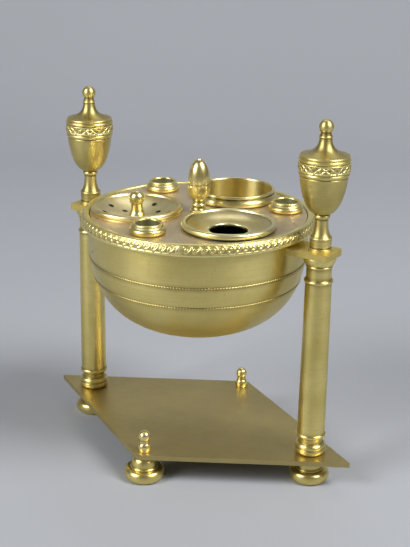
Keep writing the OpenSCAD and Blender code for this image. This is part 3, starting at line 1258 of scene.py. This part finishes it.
class HandleOperator(bpy.types.Operator):
    """Turn the acorn handle with its leafy cup, and finish its nut"""

    bl_idname = "inkstand.handle"
    bl_label = "Acorn Handle"

    def execute(self, context):
        stud_r, stud_end = 1.5, -(PLATE_T + 3.4)
        outline = (
            [(0, stud_end), (stud_r, stud_end), (stud_r, 0), (3.6, 0), (3.6, 0.7)]
            + bend((3.2, 1), (2.3, 1.4), (2.4, 2.6), 10)
            + arc((2.3, 3.3), 0.7, -60, 60, 12)
            + bend((2.4, 4), (2, 4.5), (2.7, 5.2), 10)
            + sweep((2.9, 5.4), (4.1, 6.6), (4.6, 8.4), (4.65, 11.7), 26)
            + sweep((4.4, 11.8), (4.7, 15.4), (3.6, 20.6), (0.9, 21.75), 30)
            + [(0.75, 21.7), (0.55, 21.3), (0, 21.2)]
        )
        scales, rib_depth, edge_depth, notch = 9, 0.12, 0.2, 0.9
        cup_foot, cup_turn, cup_edge, cup_top = 6.0, 9.0, 11.75, 11.8

        def leafy(r, z, angle):
            on_cup = (z > cup_foot) & (z < cup_top) & (r > 3)
            lobes = 0.5 + 0.5 * np.cos(angle * scales + (z > cup_turn) * math.pi)
            ribs = np.where(on_cup, (1 - lobes) ** 2 * rib_depth, 0)
            edge = cup_edge - notch * (1 - np.abs(np.cos(angle * scales / 2)))
            nibble = np.where(on_cup & (z > edge), edge_depth, 0)
            # Painted shade: the cup's rib valleys and nibbled edge darken towards the
            # tarnish colour
            return ribs + nibble, np.where(on_cup, ribs * 1.5 + nibble * 0.6, 0)

        turned(
            "handle_acorn",
            outline,
            (*middle("handle"), PLATE_TOP),
            "tray",
            "handle",
            finish("bright_gilt"),
            segments=180,
            step=0.35,
            relief=leafy,
        )
        dress_node("handle_nut", finish("dark_iron"), 0.15)
        return {"FINISHED"}


class PenSocketsOperator(bpy.types.Operator):
    """Turn the three pen sockets"""

    bl_idname = "inkstand.pen_sockets"
    bl_label = "Pen Sockets"

    def execute(self, context):
        bore = 4.75
        tube, ring_r = bore + 0.6, bore + 2.35
        depth, floor, lip_z = 22.0, 0.8, 3.75
        outline = (
            [(0, -depth), (tube, -depth), (tube, 0)]
            + arc((ring_r - 1.4, 1.4), 1.4, -90, 65, 24)
            + arc((bore + 0.6, lip_z), 0.6, -50, 180, 24)
            + [(bore, floor - depth), (0, floor - depth)]
        )

        patina_share = 0.9

        def patina(r, z, angle):
            inside = (r < bore + 0.05) & (z < lip_z)
            return np.zeros(r.shape), np.where(inside, patina_share, 0)

        for side in ("right", "left", "front"):
            node = "pen_socket_" + side
            at = (*middle(node), PLATE_TOP)
            gilt = finish("socket_gilt")
            turned(node + "_tube", outline, at, "tray", node, gilt, relief=patina)
        return {"FINISHED"}


WELL_R = 15.2
POT_WALL = 0.7
WELL_DEPTH = 24.0
FLANGE_R = 18.0
FLANGE_T = 0.5
DISH_R = 18.7
LIP_R = 16.5
LIP_Z = 2.1
ROLL = 1.2
DISH_T = 0.8
DISH_SAG = 4.2
SPIGOT_R = WELL_R - 0.3
SPHERE = (LIP_R**2 + DISH_SAG**2) / (2 * DISH_SAG)
DRAWN_FROM = 0.16  # grid points this near outside a hole are drawn to its edge


def dish_lip():
    """Lip of both dishes, from the seat on the flange to the inner edge."""
    return (
        [(SPIGOT_R, FLANGE_T), (DISH_R - ROLL, FLANGE_T)]
        + arc((DISH_R - ROLL, FLANGE_T + ROLL), ROLL, -90, 125, 26)
        + [(LIP_R, LIP_Z)]
    )


def floor_at(r):
    """Height of the sand dish's floor over the tray."""
    return LIP_Z - DISH_SAG + SPHERE - np.sqrt(SPHERE * SPHERE - r * r)


def sift_holes():
    """Places and radius of the sifting holes, from the dish's middle."""
    radius = 1.0
    out = (12.6, 13.2, 6.8, 11.9, 8.9, 13.1, 12.6, 12.6, 12.6)
    turns = (183.5, 228.5, 172.5, 89, 50, 19.5, 135, 275, 320)
    holes = []
    for distance, turn in zip(out, turns):
        a = math.radians(turn)
        holes.append((distance * math.cos(a), distance * math.sin(a), radius))
    return holes


class SandOperator(bpy.types.Operator):
    """Turn the sand pot, its sifting dish and the dish's knob"""

    bl_idname = "inkstand.sand"
    bl_label = "Sand Pot and Dish"

    def execute(self, context):
        at = (*middle("sand_pot"), PLATE_TOP)
        outer, floor = WELL_R + POT_WALL, 0.8
        pot = [
            (0, -WELL_DEPTH),
            (outer, -WELL_DEPTH),
            (outer, 0),
            (FLANGE_R, 0),
            (FLANGE_R, FLANGE_T),
            (WELL_R, FLANGE_T),
            (WELL_R, floor - WELL_DEPTH),
            (0, floor - WELL_DEPTH),
        ]
        gilt = finish("cup_gilt")
        turned("sand_pot_tin", pot, at, "sand_pot", "sand_pot", gilt, step=2.0)
        self.dish(at)
        foot_z = float(floor_at(3.2))
        ball, ball_z = 3.15, foot_z + 7.4
        rivet = float(floor_at(0)) - DISH_T - 0.4
        knob = (
            [(0, rivet), (1, rivet), (1, foot_z), (3.2, foot_z)]
            + bend((3.2, foot_z + 1.2), (2.35, foot_z + 2.2), (2.3, foot_z + 4.4), 14)
            + arc((0, ball_z), ball, -40, 90, 24)
        )
        bright = finish("bright_gilt")
        turned("sand_knob_ball", knob, at, "sand_dish", "sand_knob", bright)
        return {"FINISHED"}

    def dish(self, at):
        """The dish, whose floor is a fine round grid drawn to each hole's edge."""
        hub, rings, lip_rings, segments = 1.0, 70, 7, 288
        floor_radii = np.linspace(hub, SPIGOT_R, rings)
        lip_radii = np.linspace(SPIGOT_R, LIP_R, lip_rings)[1:]
        radii = np.concatenate([floor_radii, lip_radii])
        angles = np.linspace(0, 2 * math.pi, segments, endpoint=False)
        x = radii[:, None] * np.cos(angles)[None, :]
        y = radii[:, None] * np.sin(angles)[None, :]
        inside = np.zeros(x.shape, bool)
        drawn = np.zeros(x.shape, bool)
        for hx, hy, hr in sift_holes():
            d = np.hypot(x - hx, y - hy)
            inside |= d < hr
        for hx, hy, hr in sift_holes():
            d = np.hypot(x - hx, y - hy)
            k = np.where(d < hr + DRAWN_FROM, hr / np.maximum(d, TINY), 1)
            x, y = hx + (x - hx) * k, hy + (y - hy) * k
        for hx, hy, hr in sift_holes():
            drawn |= np.abs(np.hypot(x - hx, y - hy) - hr) < 0.01
        upper = floor_at(np.minimum(np.hypot(x, y), LIP_R))
        lower = np.minimum(upper - DISH_T, FLANGE_T - 0.3)

        # A cell is open when all its corners lie in a hole
        pairs = inside & np.roll(inside, -1, axis=1)
        open_cell = pairs[:-1] & pairs[1:]
        kept = ~open_cell | np.roll(~open_cell, 1, axis=1)
        shown = np.zeros(x.shape, bool)
        shown[:-1] |= kept
        shown[1:] |= kept
        points, faces, film = [], [], []

        def add(px, py, pz, film_and_shade_here):
            points.append((at[0] + px, at[1] + py, at[2] + pz))
            film.append(film_and_shade_here)
            return len(points) - 1

        top_id = -np.ones(x.shape, int)
        low_id = -np.ones(x.shape, int)
        last_low = rings - 1
        # Painted shade: near black round each sifting hole, and more under the dish
        painted_hole_shade, painted_under_shade = 1.1, 0.2
        for i, j in zip(*np.nonzero(shown)):
            film_and_shade_here = painted_hole_shade if drawn[i, j] else 0.0
            top_id[i, j] = add(x[i, j], y[i, j], upper[i, j], film_and_shade_here)
            if i <= last_low:
                low_id[i, j] = add(x[i, j], y[i, j], lower[i, j], film_and_shade_here + painted_under_shade)
        for i, j in np.ndindex(open_cell.shape):
            n = (j + 1) % segments
            if open_cell[i, j]:
                self.walls(faces, top_id, low_id, open_cell, i, j)
                continue
            cell = ((i, j), (i + 1, j), (i + 1, n), (i, n))
            faces.append(tuple(top_id[c] for c in cell))
            if i < last_low:
                faces.append(tuple(low_id[c] for c in reversed(cell)))

        def band(upper_ids, lower_ids):
            for j in range(segments):
                n = (j + 1) % segments
                faces.append((upper_ids[j], lower_ids[j], lower_ids[n], upper_ids[n]))

        # Hub wall round the rivet, and the turned lip
        band(low_id[0], top_id[0])
        edge_round, lip_step = 0.14, 0.4
        lip = without_repeats(dish_lip()[::-1], False)
        lip = close_set(softened(lip, edge_round, False), lip_step, False)[1:]
        previous = top_id[-1]
        for r, z in lip[:-1] + [(SPIGOT_R, FLANGE_T)]:
            ring = [add(r * math.cos(a), r * math.sin(a), z, 0.0) for a in angles]
            band(previous, ring)
            previous = ring
        band(previous, low_id[last_low])
        mesh_piece(
            "sand_dish_sifter",
            points,
            faces,
            "sand_dish",
            "sand_dish",
            finish("dish_gilt"),
            film,
            np.zeros(len(points)),
        )

    def walls(self, faces, top_id, low_id, open_cell, i, j):
        """Walls of a hole along the sides that this open cell shares with the floor."""
        segments = open_cell.shape[1]
        before, n = (j - 1) % segments, (j + 1) % segments
        sides = (
            (open_cell[i - 1, j], (i, j), (i, n)),
            (open_cell[i + 1, j], (i + 1, n), (i + 1, j)),
            (open_cell[i, before], (i + 1, j), (i, j)),
            (open_cell[i, n], (i, n), (i + 1, n)),
        )
        for is_open, a, b in sides:
            if not is_open:
                faces.append((top_id[a], top_id[b], low_id[b], low_id[a]))


class InkOperator(bpy.types.Operator):
    """Turn the glass ink well and its funnel dish"""

    bl_idname = "inkstand.ink"
    bl_label = "Ink Well and Dish"

    def execute(self, context):
        at = (*middle("ink_well"), PLATE_TOP)
        outer = WELL_R + POT_WALL
        glass = 2.1
        inner, mouth = outer - glass, 3.0
        well = [
            (0, -WELL_DEPTH),
            (outer, -WELL_DEPTH),
            (outer, 0),
            (FLANGE_R, 0),
            (FLANGE_R, FLANGE_T),
            (WELL_R, FLANGE_T),
            (WELL_R, -mouth),
            (inner, -mouth - 1),
            (inner, glass - WELL_DEPTH),
            (0, glass - WELL_DEPTH),
        ]
        bottle = finish("bottle_glass")
        turned("ink_well_glass", well, at, "ink_well", "ink_well", bottle, step=2.0)
        hole_r, hole_z = 7.6, -0.35
        turn_r = hole_r + 1
        dish = (
            bend(
                (hole_r, hole_z - 1.3),
                (turn_r + 3.4, hole_z - 1.2),
                (SPIGOT_R, FLANGE_T - 0.3),
                16,
            )
            + dish_lip()
            + bend((LIP_R, LIP_Z), (LIP_R - 3.5, hole_z + 0.1), (turn_r, hole_z), 24)
            + [(hole_r + 0.3, hole_z - 0.15), (hole_r, hole_z - 0.5)]
        )
        turned(
            "ink_dish_funnel",
            dish,
            at,
            "ink_dish",
            "ink_dish",
            finish("dish_gilt"),
            closed=True,
            segments=160,
        )
        return {"FINISHED"}


class CupOperator(bpy.types.Operator):
    """Turn the open cup"""

    bl_idname = "inkstand.cup"
    bl_label = "Cup"

    def execute(self, context):
        at = (*middle("cup"), PLATE_TOP)
        radius, rise, floor = 15.5, 4.9, 0.8
        corner = 1.6
        outer = radius + POT_WALL
        ring_r = radius + 2.25
        outline = (
            [(0, -WELL_DEPTH)]
            + arc((outer - corner, corner - WELL_DEPTH), corner, -90, 0, 14)
            + [(outer, 0)]
            + arc((ring_r - 1.6, 1.65), 1.6, -70, 85, 24)
            + [(outer + 0.05, rise - 1.5), (outer + 0.05, rise - 1.15)]
            + arc((radius + 0.6, rise - 0.6), 0.6, -45, 180, 22)
            + [(radius, floor + 1 - WELL_DEPTH), (radius - 1, floor - WELL_DEPTH)]
            + [(0, floor - WELL_DEPTH)]
        )
        gilt = finish("cup_gilt")
        turned("cup_spun", outline, at, "cup", "cup", gilt, segments=160)
        return {"FINISHED"}


# Stage


CAMERA_PLACE = (243.24, -371.66, 234.07)
AIM = (0, 0, 90)
SOFTBOX_DISTANCE = 1.4
WARM_WHITE = (1.0, 0.98, 0.95)
PALE_WHITE = (1.0, 0.99, 0.97)
ROOM_WHITE = (1.0, 0.97, 0.93, 1.0)


def softbox(name, azimuth, elevation, size, power, tone):
    """A rectangular lamp that faces the tray.

    Azimuth runs to the right from the camera's side, in degrees.
    """
    aim = Vector(AIM) * MM
    a = math.atan2(CAMERA_PLACE[1], CAMERA_PLACE[0]) + math.radians(azimuth)
    e = math.radians(elevation)
    flat = math.cos(e)
    direction = Vector((math.cos(a) * flat, math.sin(a) * flat, math.sin(e)))
    data = bpy.data.lights.new(name, "AREA")
    data.shape = "RECTANGLE"
    data.size, data.size_y = size
    data.energy = power
    data.color = tone
    lamp = bpy.data.objects.new(name, data)
    lamp.location = aim + direction * SOFTBOX_DISTANCE
    lamp.rotation_mode = "QUATERNION"
    lamp.rotation_quaternion = (-direction).to_track_quat("-Z", "Y")
    bpy.context.scene.collection.objects.link(lamp)


class StageOperator(bpy.types.Operator):
    """Lay the backdrop and set the lights and the camera"""

    bl_idname = "inkstand.stage"
    bl_label = "Stage"

    def execute(self, context):
        light = context.scene.inkstand_light
        self.backdrop(colour("backdrop"))
        softbox("left_softbox", -61, 32, (0.62, 0.70), light.left_power, WARM_WHITE)
        softbox("right_softbox", 62, 46, (0.58, 0.66), light.right_power, WARM_WHITE)
        softbox("back_softbox", 178, 58, (0.60, 0.40), light.back_power, PALE_WHITE)
        self.room(light.room)
        self.camera(light.lens)
        context.scene.view_settings.view_transform = "Standard"
        return {"FINISHED"}

    def backdrop(self, tone):
        """A sheet of paper that lies on the table and curves up behind."""
        back = Vector((-0.546, 0.8376, 0))
        side = Vector((0.8376, 0.546, 0))
        near, flat, bend_r, high, half = -2.2, 0.5, 0.45, 2.2, 2.6
        line = [(near, 0.0), (-1.0, 0.0), (0.0, 0.0), (flat, 0.0)]
        bend_steps = 24
        for i in range(1, bend_steps + 1):
            a = math.radians(90 * i / bend_steps)
            line.append((flat + bend_r * math.sin(a), bend_r * (1 - math.cos(a))))
        line.append((flat + bend_r, high))
        points, faces = [], []
        for along, up in line:
            for k in (-1, 0, 1):
                p = back * along + side * (half * k)
                points.append((p.x, p.y, up))
        for i in range(len(line) - 1):
            for k in range(2):
                a = i * 3 + k
                faces.append((a, a + 1, a + 4, a + 3))
        mesh = bpy.data.meshes.new("paper_backdrop")
        mesh.from_pydata(points, [], faces)
        mesh.polygons.foreach_set("use_smooth", [True] * len(mesh.polygons))
        paper = Nodes("backdrop_paper")
        soft = paper.ramp(paper.noise(2.2, 2.0), 0.3, 0.7)
        uneven = paper.blend(soft, tone, shade(tone, 0.94))
        paper.link(uneven, paper.shader.inputs["Base Color"])
        paper.shader.inputs["Roughness"].default_value = 0.85
        paper.shader.inputs["Specular IOR Level"].default_value = 0.2
        mesh.materials.append(paper.material)
        sheet = bpy.data.objects.new("paper_backdrop", mesh)
        bpy.context.scene.collection.objects.link(sheet)

    def room(self, strength):
        """Even light from all round."""
        world = bpy.data.worlds.new("studio_room")
        world.use_nodes = True
        background = world.node_tree.nodes["Background"]
        background.inputs["Color"].default_value = ROOM_WHITE
        background.inputs["Strength"].default_value = strength
        bpy.context.scene.world = world

    def camera(self, lens):
        """The place and turn solved from the base, the columns and the rim."""
        right = Vector((0.8376061, 0.54605125, 0.01562222))
        up = Vector((-0.19373329, 0.27019194, 0.94311385))
        ahead = Vector((-0.51076749, 0.79298446, -0.33210272))
        data = bpy.data.cameras.new("photo_camera")
        data.lens = lens
        data.sensor_width = 36.0
        data.sensor_fit = "AUTO"
        data.shift_x = -0.0011
        data.clip_start, data.clip_end = 0.01, 20.0
        camera = bpy.data.objects.new("photo_camera", data)
        turn = Matrix((right, up, -ahead)).transposed()
        place = Matrix.Translation(Vector(CAMERA_PLACE) * MM)
        camera.matrix_world = place @ turn.to_4x4()
        bpy.context.scene.collection.objects.link(camera)
        bpy.context.scene.camera = camera


OPERATORS = (
    BaseOperator,
    FeetOperator,
    ColumnsOperator,
    BracketsOperator,
    UrnsOperator,
    BowlOperator,
    RimBandOperator,
    TrayOperator,
    HandleOperator,
    PenSocketsOperator,
    SandOperator,
    InkOperator,
    CupOperator,
    StageOperator,
)


class InkstandPanel(bpy.types.Panel):
    """Sizes, colours, light and one button for each group of pieces"""

    bl_idname = "VIEW3D_PT_inkstand"
    bl_label = "Desk Inkstand"
    bl_space_type = "VIEW_3D"
    bl_region_type = "UI"
    bl_category = "Inkstand"

    def draw(self, context):
        for group in (
            context.scene.inkstand_sizes,
            context.scene.inkstand_colours,
            context.scene.inkstand_light,
        ):
            box = self.layout.box()
            for key in group.__annotations__:
                box.prop(group, key)
        for operator in OPERATORS:
            self.layout.operator(operator.bl_idname)


CLASSES = (InkstandSizes, InkstandColours, InkstandLight, *OPERATORS, InkstandPanel)


def register():
    for cls in CLASSES:
        bpy.utils.register_class(cls)
    scene = bpy.types.Scene
    scene.inkstand_sizes = PointerProperty(type=InkstandSizes)
    scene.inkstand_colours = PointerProperty(type=InkstandColours)
    scene.inkstand_light = PointerProperty(type=InkstandLight)


def unregister():
    for key in ("inkstand_sizes", "inkstand_colours", "inkstand_light"):
        delattr(bpy.types.Scene, key)
    for cls in reversed(CLASSES):
        bpy.utils.unregister_class(cls)


def main():
    """Builds every piece in order."""
    register()
    for operator in OPERATORS:
        category, name = operator.bl_idname.split(".")
        getattr(getattr(bpy.ops, category), name)()


if __name__ == "__main__":
    main()
